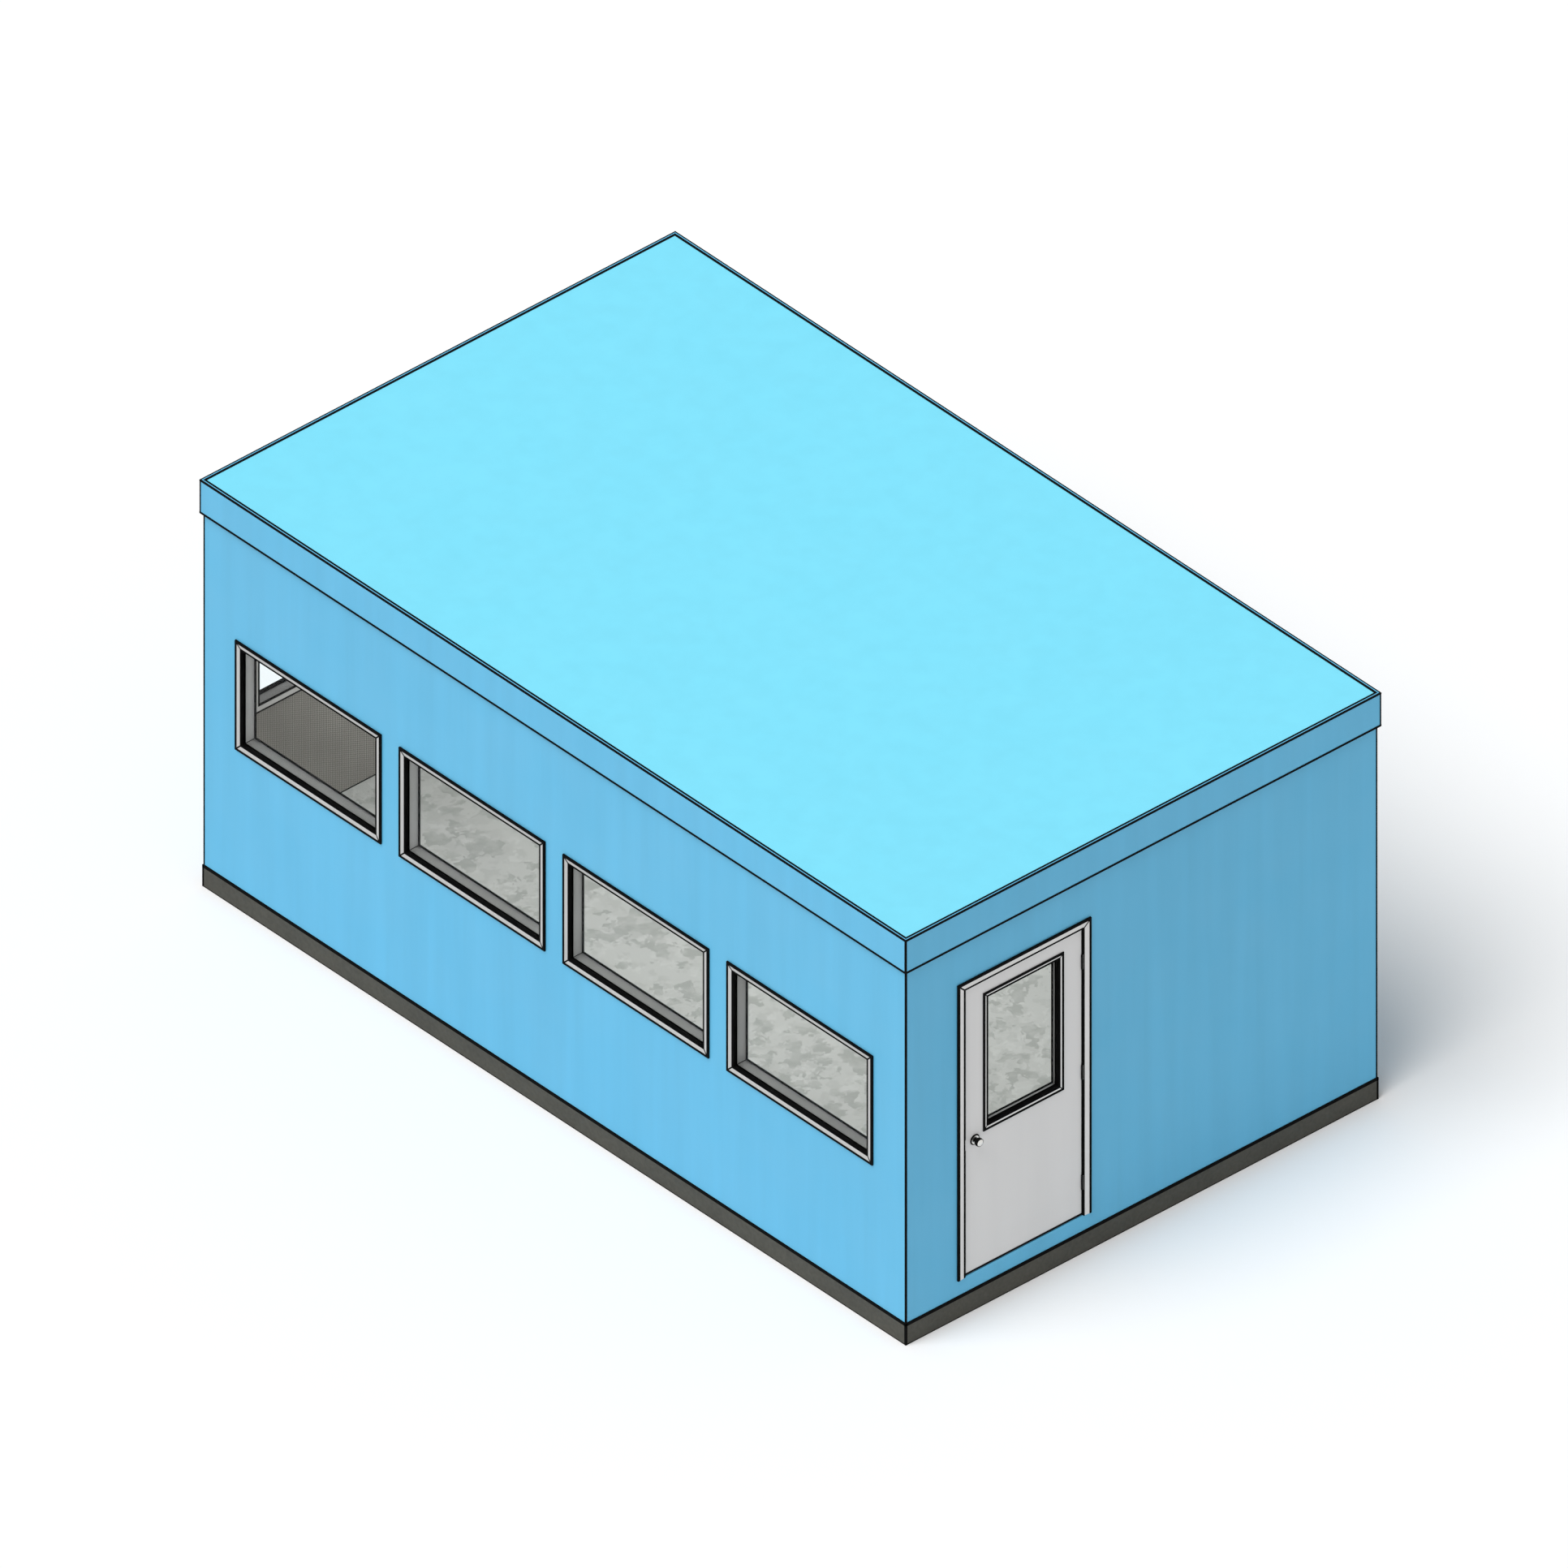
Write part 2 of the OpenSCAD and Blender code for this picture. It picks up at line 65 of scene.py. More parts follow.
MM = 0.001
UP = Vector((0, 0, 1))
WELD = 0.01 * MM


# Layout, taken from the frame


def outline(*names):
    """The box round several nodes."""
    boxes = [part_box(name) for name in names]
    low = Vector([min(box[0][i] for box in boxes) for i in range(3)])
    high = Vector([max(box[1][i] for box in boxes) for i in range(3)])
    return low, high


def welded(node):
    """A node's mesh with the points of neighbouring faces joined."""
    bm = bmesh.new()
    bm.from_mesh(nodes[node].data)
    bmesh.ops.remove_doubles(bm, verts=bm.verts, dist=WELD)
    return bm


def solids(node):
    """The boxes of a node's separate solids."""
    bm = welded(node)
    left = set(bm.verts)
    boxes = []
    while left:
        group = [left.pop()]
        for vert in group:
            near = {edge.other_vert(vert) for edge in vert.link_edges} & left
            left -= near
            group.extend(near)
        points = [vert.co for vert in group]
        low = Vector([min(p[i] for p in points) for i in range(3)])
        high = Vector([max(p[i] for p in points) for i in range(3)])
        boxes.append((low, high))
    bm.free()
    return sorted(boxes, key=lambda box: tuple(box[0]))


class Elevation:
    """An upright face: x to the right as seen from outside, z up, out from the face."""

    def __init__(self, origin, right, out):
        self.origin = Vector(origin)
        self.right = Vector(right)
        self.out = Vector(out)

    def point(self, x, z, out=0.0):
        return self.origin + self.right * x + UP * z + self.out * out

    def rectangle(self, box):
        """(left, right, bottom, top) of a box, in this elevation."""
        sides = sorted((corner - self.origin).dot(self.right) for corner in box)
        return sides[0], sides[1], box[0].z, box[1].z

    def depth(self, box):
        """How far a box reaches behind the face."""
        return max((self.origin - corner).dot(self.out) for corner in box)

    def holds(self, box):
        """Whether a box's middle is close to the face."""
        middle = (box[0] + box[1]) / 2
        return abs((middle - self.origin).dot(self.out)) < 2 * SHELL


WALL_LOW, WALL_HIGH = outline("front_wall", "back_wall")
BASE_LOW, BASE_HIGH = outline("base_rail_front", "base_rail_back")
FASCIA_LOW, FASCIA_HIGH = outline("fascia_front", "fascia_back")
SHEET_LOW, SHEET_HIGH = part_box("roof_sheet")
ROOM_LOW, ROOM_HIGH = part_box("floor_covering")
LEAF_LOW, LEAF_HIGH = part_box("door_leaf")
SILL_LOW, SILL_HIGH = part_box("door_threshold")
LITE_LOW, LITE_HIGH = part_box("door_lite_frame")

FRONT = Elevation((0, WALL_LOW.y, 0), (1, 0, 0), (0, -1, 0))
BACK = Elevation((0, WALL_HIGH.y, 0), (-1, 0, 0), (0, 1, 0))
LEFT = Elevation((WALL_LOW.x, 0, 0), (0, -1, 0), (-1, 0, 0))
RIGHT = Elevation((WALL_HIGH.x, 0, 0), (0, 1, 0), (1, 0, 0))
LEAF = Elevation((LEAF_HIGH.x, 0, 0), (0, 1, 0), (1, 0, 0))
WINDOW_WALLS = ((FRONT, "front"), (BACK, "back"), (LEFT, "left"))

SHELL = ROOM_LOW.x - WALL_LOW.x
TRIM_PROUD = WALL_LOW.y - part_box("front_window_frames")[0].y
TRIM_DISH = 5 * MM
TRIM_RIM = 2 * MM
REVEAL_END = SHELL + TRIM_DISH
CASING_W = SILL_LOW.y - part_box("door_latch_jamb")[0].y
CASING_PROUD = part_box("door_head")[1].x - WALL_HIGH.x
CASING_DISH = 6 * MM
HEAD_GAP = 5 * MM
LITE_PROUD = LITE_HIGH.x - LEAF_HIGH.x
LITE_DISH = 2 * MM
LITE_END = LEAF.depth((LITE_LOW, LITE_HIGH)) - (LITE_PROUD - LITE_DISH)
DOORWAY = (SILL_LOW.y, SILL_HIGH.y, SILL_LOW.z, LEAF_HIGH.z + HEAD_GAP)
KNOB_JOINT = next(joint for joint in frame["joints"] if joint["name"] == "knob_turn")
KNOB_Y, KNOB_Z = KNOB_JOINT["pos_m"][1:]
STRIKE_HALF = 38 * MM


# Materials


class Finish:
    """A material being made: its node tree, its shader and the object's own coordinates."""

    def __init__(self, name, color, roughness, metallic=0.0, specular=0.3):
        self.material = bpy.data.materials.new(name)
        self.material.use_nodes = True
        self.tree = self.material.node_tree
        self.shader = self.tree.nodes["Principled BSDF"]
        self.set("Base Color", (*color, 1))
        self.set("Roughness", roughness)
        self.set("Metallic", metallic)
        self.set("Specular IOR Level", specular)
        self.place = self.node("ShaderNodeTexCoord").outputs["Object"]
        self.normal = None

    def set(self, socket, value):
        self.shader.inputs[socket].default_value = value

    def node(self, kind, **settings):
        made = self.tree.nodes.new(kind)
        for key, value in settings.items():
            setattr(made, key, value)
        return made

    def feed(self, socket, value):
        """Sets a socket to a number or colour, or links it to another socket."""
        if isinstance(value, bpy.types.NodeSocket):
            self.tree.links.new(value, socket)
        else:
            socket.default_value = value

    def math(self, operation, first, second=0.0):
        made = self.node("ShaderNodeMath", operation=operation)
        self.feed(made.inputs[0], first)
        self.feed(made.inputs[1], second)
        return made.outputs[0]

    def axes(self):
        made = self.node("ShaderNodeSeparateXYZ")
        self.feed(made.inputs[0], self.place)
        return made.outputs

    def stretched(self, scale):
        made = self.node("ShaderNodeMapping")
        made.inputs["Scale"].default_value = scale
        self.feed(made.inputs["Vector"], self.place)
        return made.outputs["Vector"]

    def noise(self, scale, detail=3.0, stretch=(1, 1, 1)):
        made = self.node("ShaderNodeTexNoise")
        made.inputs["Scale"].default_value = scale
        made.inputs["Detail"].default_value = detail
        self.feed(made.inputs["Vector"], self.stretched(stretch))
        return made.outputs["Fac"]

    def cells(self, place, scale):
        """A random colour for each cell."""
        made = self.node("ShaderNodeTexVoronoi")
        made.inputs["Scale"].default_value = scale
        self.feed(made.inputs["Vector"], place)
        return made.outputs["Color"]

    def shifted(self, place, color, reach):
        """Coordinates moved aside by a colour."""
        made = self.node("ShaderNodeVectorMath", operation="MULTIPLY_ADD")
        self.feed(made.inputs[0], color)
        made.inputs[1].default_value = (reach, reach, 0)
        self.feed(made.inputs[2], place)
        return made.outputs[0]

    def red(self, color):
        made = self.node("ShaderNodeSeparateColor")
        self.feed(made.inputs[0], color)
        return made.outputs[0]

    def ramp(self, value, *stops):
        """A colour for each value, from (place, colour) pairs."""
        made = self.node("ShaderNodeValToRGB")
        elements = made.color_ramp.elements
        while len(elements) < len(stops):
            elements.new(0.5)
        for element, (place, color) in zip(elements, stops):
            element.position = place
            element.color = (*color, 1)
        self.feed(made.inputs["Fac"], value)
        return made.outputs["Color"]

    def mix(self, share, first, second):
        made = self.node("ShaderNodeMix", data_type="RGBA")
        factor, below, above = (made.inputs[i] for i in (0, 6, 7))
        self.feed(factor, share)
        self.feed(below, first)
        self.feed(above, second)
        return made.outputs[2]

    def between(self, value, low, high, start=0.3, end=0.7):
        made = self.node("ShaderNodeMapRange")
        for socket, number in zip(made.inputs[1:5], (start, end, low, high)):
            socket.default_value = number
        self.feed(made.inputs[0], value)
        return made.outputs[0]

    def color(self, source):
        self.feed(self.shader.inputs["Base Color"], source)

    def rough(self, source):
        self.feed(self.shader.inputs["Roughness"], source)

    def bump(self, height, depth):
        """Raises the surface by a height from 0 to 1, times a depth in metres."""
        made = self.node("ShaderNodeBump")
        made.inputs["Distance"].default_value = depth
        self.feed(made.inputs["Height"], height)
        if self.normal:
            self.feed(made.inputs["Normal"], self.normal)
        self.normal = made.outputs["Normal"]
        self.feed(self.shader.inputs["Normal"], self.normal)


def shade(color, factor):
    return tuple(min(1.0, channel * factor) for channel in color)


def painted_sheet(name, color, contrast):
    """Satin paint on steel sheet: faint upright streaks, shallow waves and a fine orange peel."""
    finish = Finish(name, color, 0.5)
    streaks = finish.math("MULTIPLY", finish.noise(1.0, 5.0, (7, 7, 0.4)), 0.7)
    clouds = finish.math("MULTIPLY", finish.noise(0.8, 2.0), 0.3)
    tone = finish.math("ADD", streaks, clouds)
    dark, light = shade(color, 1 - contrast), shade(color, 1 + contrast)
    finish.color(finish.ramp(tone, (0.36, dark), (0.64, light)))
    finish.rough(finish.between(finish.noise(3.0), 0.44, 0.58))
    finish.bump(finish.noise(1.1, 1.0), 2.0 * MM)
    finish.bump(finish.noise(380.0, 1.0), 0.05 * MM)
    return finish.material


def painted_trim(name, color, specular=0.3):
    """Satin paint on small sections, with brush-fine roughness and slight soiling."""
    finish = Finish(name, color, 0.45, specular=specular)
    soil = finish.noise(9.0, 6.0, (1, 1, 0.5))
    finish.color(finish.ramp(soil, (0.3, shade(color, 0.94)), (0.6, color), (0.75, shade(color, 1.03))))
    finish.rough(finish.between(finish.noise(30.0), 0.38, 0.52))
    finish.bump(finish.noise(500.0, 1.0), 0.04 * MM)
    return finish.material


def base_steel():
    """Matt dark paint on rolled steel, mottled and a little scuffed."""
    dark, middle, light = (0.049, 0.048, 0.039), (0.073, 0.072, 0.06), (0.095, 0.092, 0.077)
    finish = Finish("base_steel", middle, 0.7)
    mottle = finish.noise(2.6, 8.0, (1, 1, 1.6))
    grain = finish.noise(40.0, 4.0)
    cloudy = finish.ramp(mottle, (0.3, dark), (0.5, middle), (0.7, light))
    speckled = finish.ramp(grain, (0.3, dark), (0.7, light))
    finish.color(finish.mix(0.35, cloudy, speckled))
    finish.rough(finish.between(mottle, 0.6, 0.82))
    finish.bump(grain, 0.3 * MM)
    return finish.material


def floor_vinyl():
    """Light grey sheet vinyl with torn darker flakes and paler wisps."""
    plain = (0.5, 0.515, 0.5)
    haze, pale, flake = (0.455, 0.47, 0.455), (0.54, 0.555, 0.54), (0.365, 0.38, 0.365)
    finish = Finish("floor_vinyl", plain, 0.5)
    torn = finish.shifted(finish.place, finish.cells(finish.place, 26.0), 0.045)
    torn = finish.shifted(torn, finish.cells(finish.place, 70.0), 0.008)
    color = (*plain, 1)
    lots = ((14.0, 0.3, haze), (17.0, 0.2, pale), (24.0, 0.14, haze), (13.0, 0.3, flake))
    for scale, share, tone in lots:
        lot = finish.red(finish.cells(torn, scale))
        chosen = finish.between(lot, 0.0, 1.0, 0.99 - share, 1.01 - share)
        faded = finish.between(finish.noise(0.9 * scale, 2.0), 0.5, 1.0, 0.4, 0.56)
        color = finish.mix(finish.math("MULTIPLY", chosen, faded), color, (*tone, 1))
    finish.color(color)
    finish.rough(finish.between(finish.noise(6.0), 0.42, 0.55))
    finish.bump(finish.noise(160.0, 2.0), 0.08 * MM)
    return finish.material


def lining_vinyl():
    """Grey wall vinyl woven in upright ribs, with painted shade in the troughs and a painted sheen on the
    crests, and darker in random clouds.
    """
    shadow, thread, shine = (0.14, 0.134, 0.123), (0.315, 0.303, 0.28), (0.5, 0.482, 0.446)
    finish = Finish("lining_vinyl", thread, 0.75)
    rib_pitch, pick_pitch, row_step = 14 * MM, 15 * MM, 2.4
    turn = 2 * math.pi
    x, y, z = finish.axes()
    along = finish.math("ADD", x, y)
    rib = finish.math("SINE", finish.math("MULTIPLY", along, turn / rib_pitch))
    row = finish.math("FLOOR", finish.math("DIVIDE", along, rib_pitch))
    rise = finish.math("MULTIPLY", z, turn / pick_pitch)
    pick = finish.math("SINE", finish.math("ADD", rise, finish.math("MULTIPLY", row, row_step)))
    weave = finish.math("ADD", finish.math("MULTIPLY", rib, 0.3), finish.math("MULTIPLY", pick, 0.2))
    height = finish.math("ADD", weave, 0.5)
    # Painted shade in the weave's troughs and painted sheen on its crests.
    weave_shade_and_sheen = finish.ramp(height, (0.1, shadow), (0.55, thread), (0.95, shine))
    # Darker in random clouds.
    dark_clouds = finish.between(finish.noise(4.0, 5.0), 0.0, 0.5)
    finish.color(finish.mix(dark_clouds, weave_shade_and_sheen, (0.22, 0.21, 0.193, 1)))
    finish.bump(height, 0.6 * MM)
    return finish.material


def ceiling_board():
    """Matt white board with small pits, painted darker in the pits as shade and a little lighter on the
    crests as light.
    """
    pit_shade, flat, crest = (0.52, 0.52, 0.5), (0.76, 0.76, 0.73), (0.8, 0.8, 0.77)
    finish = Finish("ceiling_board", (0.78, 0.78, 0.75), 0.9)
    pits = finish.noise(120.0, 4.0)
    # The colour follows the relief: painted shade in the pits, painted light on the crests.
    finish.color(finish.ramp(pits, (0.32, pit_shade), (0.4, flat), (0.7, crest)))
    finish.bump(pits, 0.8 * MM)
    return finish.material


def plain_core(name, dark, light):
    """Plywood or insulation, seen only at cut edges."""
    finish = Finish(name, light, 0.85)
    grain = finish.noise(6.0, 6.0, (1, 8, 8))
    finish.color(finish.ramp(grain, (0.3, dark), (0.7, light)))
    finish.bump(grain, 0.4 * MM)
    return finish.material


def rubber():
    """Matt black rubber with a faint bloom."""
    finish = Finish("gasket_rubber", (0.004, 0.004, 0.004), 0.7, specular=0.03)
    bloom = finish.noise(14.0, 5.0)
    finish.color(finish.ramp(bloom, (0.35, (0.002, 0.002, 0.002)), (0.75, (0.006, 0.006, 0.006))))
    finish.rough(finish.between(bloom, 0.6, 0.8))
    finish.bump(finish.noise(300.0, 2.0), 0.06 * MM)
    return finish.material


def glass():
    """Clear coated glass that reflects little, with slight smears and waves."""
    finish = Finish("window_glass", (0.97, 0.985, 0.98), 0.0, specular=0.5)
    finish.set("Transmission Weight", 1.0)
    finish.set("IOR", 1.09)
    finish.rough(finish.between(finish.noise(5.0, 6.0), 0.0, 0.03, 0.5, 0.8))
    finish.bump(finish.noise(2.0, 1.0), 0.05 * MM)
    return finish.material


def brushed_metal(name, color, stretch, roughness):
    """Bare metal with a directional brushed grain."""
    finish = Finish(name, color, roughness, metallic=1.0)
    grain = finish.noise(30.0, 3.0, stretch)
    finish.color(finish.ramp(grain, (0.3, shade(color, 0.94)), (0.7, shade(color, 1.05))))
    finish.rough(finish.between(grain, roughness - 0.03, roughness + 0.04))
    finish.bump(grain, 0.005 * MM)
    return finish.material


SLOTS = {
    "base_steel": base_steel(),
    "floor_core": plain_core("floor_core", (0.32, 0.22, 0.12), (0.42, 0.31, 0.18)),
    "floor_vinyl": floor_vinyl(),
    "wall_paint": painted_sheet("wall_paint", (0.135, 0.52, 0.80), 0.035),
    # roof_paint is the walls' blue paint made lighter: painted light, for a top that is lit more than the
    # walls.
    "roof_paint": painted_sheet("roof_paint", (0.205, 0.75, 0.955), 0.02),
    "lining_vinyl": lining_vinyl(),
    "ceiling_board": ceiling_board(),
    "roof_core": plain_core("roof_core", (0.6, 0.59, 0.52), (0.7, 0.69, 0.62)),
    "trim_paint": painted_trim("trim_paint", (0.57, 0.565, 0.555)),
    "casing_paint": painted_trim("casing_paint", (0.83, 0.82, 0.81)),
    "gasket_rubber": rubber(),
    "window_glass": glass(),
    "threshold_metal": brushed_metal("threshold_metal", (0.55, 0.56, 0.57), (20, 1, 20), 0.38),
    "door_paint": painted_sheet("door_paint", (0.79, 0.785, 0.78), 0.015),
    "hinge_steel": painted_trim("hinge_steel", (0.004, 0.004, 0.004), 0.05),
    "knob_metal": brushed_metal("knob_metal", (0.72, 0.71, 0.68), (4, 20, 20), 0.28),
}
# Darker copies of the trim paint, as painted shade in the reveals: on the jambs and heads, and darker
# still on the sills because they face the light.
REVEAL_SHADE_PAINT = painted_trim("liner_paint", (0.44, 0.44, 0.435))
SILL_SHADE_PAINT = painted_trim("sill_paint", (0.2, 0.2, 0.197))
for subpart in frame["record"]["subparts"]:
    for material_slot in nodes[subpart["node"]].material_slots:
        material_slot.material = SLOTS[subpart["material_slot"]]


# Mesh helpers


def piece(name, bm, slot, body="building", finish=None, smooth_angle=None):
    """Makes a piece from a mesh, with its slot's finish or another, and lets it ride on a body."""
    bmesh.ops.recalc_face_normals(bm, faces=bm.faces)
    mesh = bpy.data.meshes.new(name)
    bm.to_mesh(mesh)
    bm.free()
    mesh.materials.append(finish or SLOTS[slot])
    if smooth_angle is not None:
        mesh.shade_smooth()
        mesh.set_sharp_from_angle(angle=smooth_angle)
    made = bpy.data.objects.new(name, mesh)
    bpy.context.scene.collection.objects.link(made)
    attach(made, body)
    return made


def seal(name, bm, body="building"):
    """A rubber piece."""
    return piece(name, bm, "gasket_rubber", body)


def soft_mesh(node, edge):
    """A node's mesh with its sharp edges rounded."""
    flat, sharp = math.radians(0.5), math.radians(4)
    bm = welded(node)
    bmesh.ops.dissolve_limit(bm, angle_limit=flat, verts=bm.verts, edges=bm.edges)
    edges = [e for e in bm.edges if e.is_manifold and e.calc_face_angle() > sharp]
    bmesh.ops.bevel(
        bm, geom=edges, offset=edge, segments=2, profile=0.5, affect="EDGES", clamp_overlap=True
    )
    bm.normal_update()
    return bm


def soften(node, edge, slot, body="building"):
    """Replaces a node by its softened mesh."""
    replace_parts(piece("soft_" + node, soft_mesh(node, edge), slot, body), node)


def strip(side0, side1, rise0, rise1, radius):
    """A rectangular section in millimetres with round corners, as (side, rise) points in metres."""
    steps = 3
    corners = ((side1, rise0, -90), (side1, rise1, 0), (side0, rise1, 90), (side0, rise0, 180))
    points = []
    for side, rise, start in corners:
        middle_side = side + (radius if side == side0 else -radius)
        middle_rise = rise + (radius if rise == rise0 else -radius)
        for step in range(steps + 1):
            angle = math.radians(start + 90 * step / steps)
            point_side = middle_side + radius * math.cos(angle)
            point_rise = middle_rise + radius * math.sin(angle)
            points.append((point_side, point_rise))
    return in_metres(points)


def in_metres(points):
    return [(a * MM, b * MM) for a, b in points]


def sweep(bm, corners, out, section, closed=True):
    """Runs a section along corners that lie in one plane, mitred where it turns.

    A point of the section is (side, rise): to the right of the run, and along out."""
    count = len(corners)
    rings = []
    for i, corner in enumerate(corners):
        sides = []
        if closed or i > 0:
            sides.append((corner - corners[i - 1]).normalized().cross(out))
        if closed or i < count - 1:
            sides.append((corners[(i + 1) % count] - corner).normalized().cross(out))
        mitre = sides[0] if len(sides) == 1 else (sides[0] + sides[1]) / (1 + sides[0].dot(sides[1]))
        rings.append([bm.verts.new(corner + mitre * side + out * rise) for side, rise in section])
    for i in range(count if closed else count - 1):
        join_rings(bm, rings[i], rings[(i + 1) % count])
    if not closed:
        bm.faces.new(rings[0])
        bm.faces.new(rings[-1])


def join_rings(bm, near, far):
    for i in range(len(near)):
        j = (i + 1) % len(near)
        bm.faces.new((near[i], near[j], far[j], far[i]))


def prism(bm, base, run):
    """A solid from a flat outline and the vector it is drawn along."""
    low = [bm.verts.new(point) for point in base]
    high = [bm.verts.new(point + run) for point in base]
    bm.faces.new(low)
    bm.faces.new(high)
    join_rings(bm, low, high)


def lathe(bm, origin, axis, profile, steps=64):
    """Turns (radius, height) points about a level axis. Returns the first ring and the last."""
    side = UP.cross(axis)
    rings = []
    for radius, height in profile:
        ring = []
        for i in range(steps):
            angle = 2 * math.pi * i / steps
            around = side * math.cos(angle) + UP * math.sin(angle)
            ring.append(bm.verts.new(origin + axis * height + around * radius))
        rings.append(ring)
    for near, far in zip(rings, rings[1:]):
        join_rings(bm, near, far)
    return rings[0], rings[-1]


def arc(middle, radius, start, end, steps):
    """(radius, height) points on a circle about a point of the axis, angles from the axis's foot."""
    points = []
    for step in range(steps + 1):
        angle = math.radians(start + (end - start) * step / steps)
        points.append((radius * math.sin(angle), middle - radius * math.cos(angle)))
    return points


def ring_corners(elevation, rectangle):
    """A rectangle's corners in an elevation, anticlockwise from the lower left."""
    left, right, bottom, top = rectangle
    spots = ((left, bottom), (right, bottom), (right, top), (left, top))
    return [elevation.point(x, z) for x, z in spots]


def plan_corners(low, high, z):
    """A box's corners at one height, anticlockwise seen from above."""
    spots = ((low.x, low.y), (high.x, low.y), (high.x, high.y), (low.x, high.y))
    return [Vector((x, y, z)) for x, y in spots]


def mitre_joints(bm, elevation, rectangle, section, corners, width):
    """Sealed lines across the mitres of a trim round a rectangle.

    section holds (offset outwards, height off the face) points across the trim."""
    lift = 0.8 * MM
    left, right, bottom, top = rectangle
    spots = {
        "lower left": (left, bottom, -1, -1),
        "lower right": (right, bottom, 1, -1),
        "upper right": (right, top, 1, 1),
        "upper left": (left, top, -1, 1),
    }
    for corner in corners:
        x, z, x_sign, z_sign = spots[corner]
        across = (elevation.right * -z_sign * x_sign + UP).normalized() * width / 2
        rows = []
        for offset, rise in section:
            foot = elevation.point(x + x_sign * offset, z + z_sign * offset, rise - lift)
            crown = elevation.point(x + x_sign * offset, z + z_sign * offset, rise + lift)
            ends = (foot - across, crown - across, crown + across, foot + across)
            rows.append([bm.verts.new(point) for point in ends])
        for near, far in zip(rows, rows[1:]):
            join_rings(bm, near, far)
        bm.faces.new(rows[0])
        bm.faces.new(rows[-1])


ALL_CORNERS = ("lower left", "lower right", "upper right", "upper left")


# Softened copies of the framed pieces

TRIM_ROUNDING = 0.7 * MM
FASCIA_ROUNDING = 1.5 * MM
BASE_ROUNDING = 2.0 * MM
LEAF_ROUNDING = 1.2 * MM
LITE_ROUNDING = 0.6 * MM

for _, side in WINDOW_WALLS:
    soften(f"{side}_window_frames", TRIM_ROUNDING, "trim_paint")
soften("window_inner_trims", TRIM_ROUNDING, "trim_paint")
for side in ("front", "back", "left", "right"):
    soften(f"fascia_{side}", FASCIA_ROUNDING, "wall_paint")
    soften(f"base_rail_{side}", BASE_ROUNDING, "base_steel")
for node in ("door_latch_jamb", "door_hinge_jamb", "door_head"):
    soften(node, TRIM_ROUNDING, "casing_paint")
soften("door_leaf", LEAF_ROUNDING, "door_paint", "door")
soften("door_lite_frame", LITE_ROUNDING, "casing_paint", "door")


# Seals of the shell: base, fascia edges, roof rim, corners and floor edge


def shell_seals():
    """Seals and edgings that run round the whole building; sections are in millimetres."""
    flashing = bmesh.new()
    ledge = (WALL_LOW.y - BASE_LOW.y) / MM
    profile = [(-1, -1), (ledge - 1, -1), (ledge - 1, -18), (ledge + 1, -18), (ledge + 1.6, -17),
               (ledge + 1.6, 0), (ledge, 1.5), (2, 3), (-1, 3.5)]
    sweep(flashing, plan_corners(WALL_LOW, WALL_HIGH, BASE_HIGH.z), UP, in_metres(profile))
    seal("base_flashing", flashing)

    toe = bmesh.new()
    sweep(toe, plan_corners(BASE_LOW, BASE_HIGH, BASE_LOW.z), UP, strip(-1, 1, 0, 6, 0.5))
    seal("base_toe_strip", toe)

    drip = bmesh.new()
    profile = [(-12, -2), (2, -2), (2, 11.5), (1.4, 12.5), (-0.5, 12.5), (-0.5, 0.5), (-12, 0.5)]
    sweep(drip, plan_corners(FASCIA_LOW, FASCIA_HIGH, FASCIA_LOW.z), UP, in_metres(profile))
    seal("fascia_drip_edge", drip)

    cap = bmesh.new()
    profile = [(-7, -1), (-0.5, -1), (-0.5, -9.5), (1.5, -9.5), (2, -9), (2, 0.5), (1, 1.5), (-6.5, 1.5),
               (-7, 1)]
    sweep(cap, plan_corners(FASCIA_LOW, FASCIA_HIGH, FASCIA_HIGH.z), UP, in_metres(profile))
    seal("roof_edge_cap", cap)

    rim = bmesh.new()
    step = (FASCIA_HIGH.z - SHEET_HIGH.z) / MM
    profile = [(-5, -0.5), (-0.5, -0.5), (-0.5, step - 0.5), (10, step - 0.5), (10, step + 0.8),
               (9, step + 1.2), (-3, step + 1.2), (-5, 1)]
    sweep(rim, plan_corners(SHEET_LOW, SHEET_HIGH, SHEET_HIGH.z), UP, in_metres(profile))
    seal("roof_rim_seal", rim)

    skirting = bmesh.new()
    profile = [(1, -1), (-5, -1), (-5, 0.8), (-2.5, 2), (-1.5, 5), (1, 5)]
    sweep(skirting, plan_corners(ROOM_LOW, ROOM_HIGH, ROOM_HIGH.z), UP, in_metres(profile))
    seal("floor_edge_seal", skirting)


def corner_seals():
    """Sealed joints down the four corners of the base, the walls and the fascia."""
    proud, sunk = 1.6, 0.5
    tiers = (
        (BASE_LOW, BASE_HIGH, BASE_LOW.z, BASE_HIGH.z, 12.5),
        (WALL_LOW, WALL_HIGH, BASE_HIGH.z, FASCIA_LOW.z, 10.0),
        (FASCIA_LOW, FASCIA_HIGH, FASCIA_LOW.z, FASCIA_HIGH.z - 1 * MM, 10.0),
    )
    bm = bmesh.new()
    for low, high, foot, head, leg in tiers:
        section = [(-leg, -sunk), (-leg, proud / 2), (1 - leg, proud), (proud / 2, proud),
                   (proud, proud / 2), (proud, 1 - leg), (proud / 2, -leg), (-sunk, -leg), (-sunk, -sunk)]
        for x, x_sign in ((low.x, -1), (high.x, 1)):
            for y, y_sign in ((low.y, -1), (high.y, 1)):
                base = [Vector((x + x_sign * a, y + y_sign * b, foot)) for a, b in in_metres(section)]
                prism(bm, base, UP * (head - foot))
    seal("corner_seals", bm)


shell_seals()
corner_seals()


# Seals of the windows

JOINT_W = 9 * MM
LITE_JOINT_W = 6 * MM


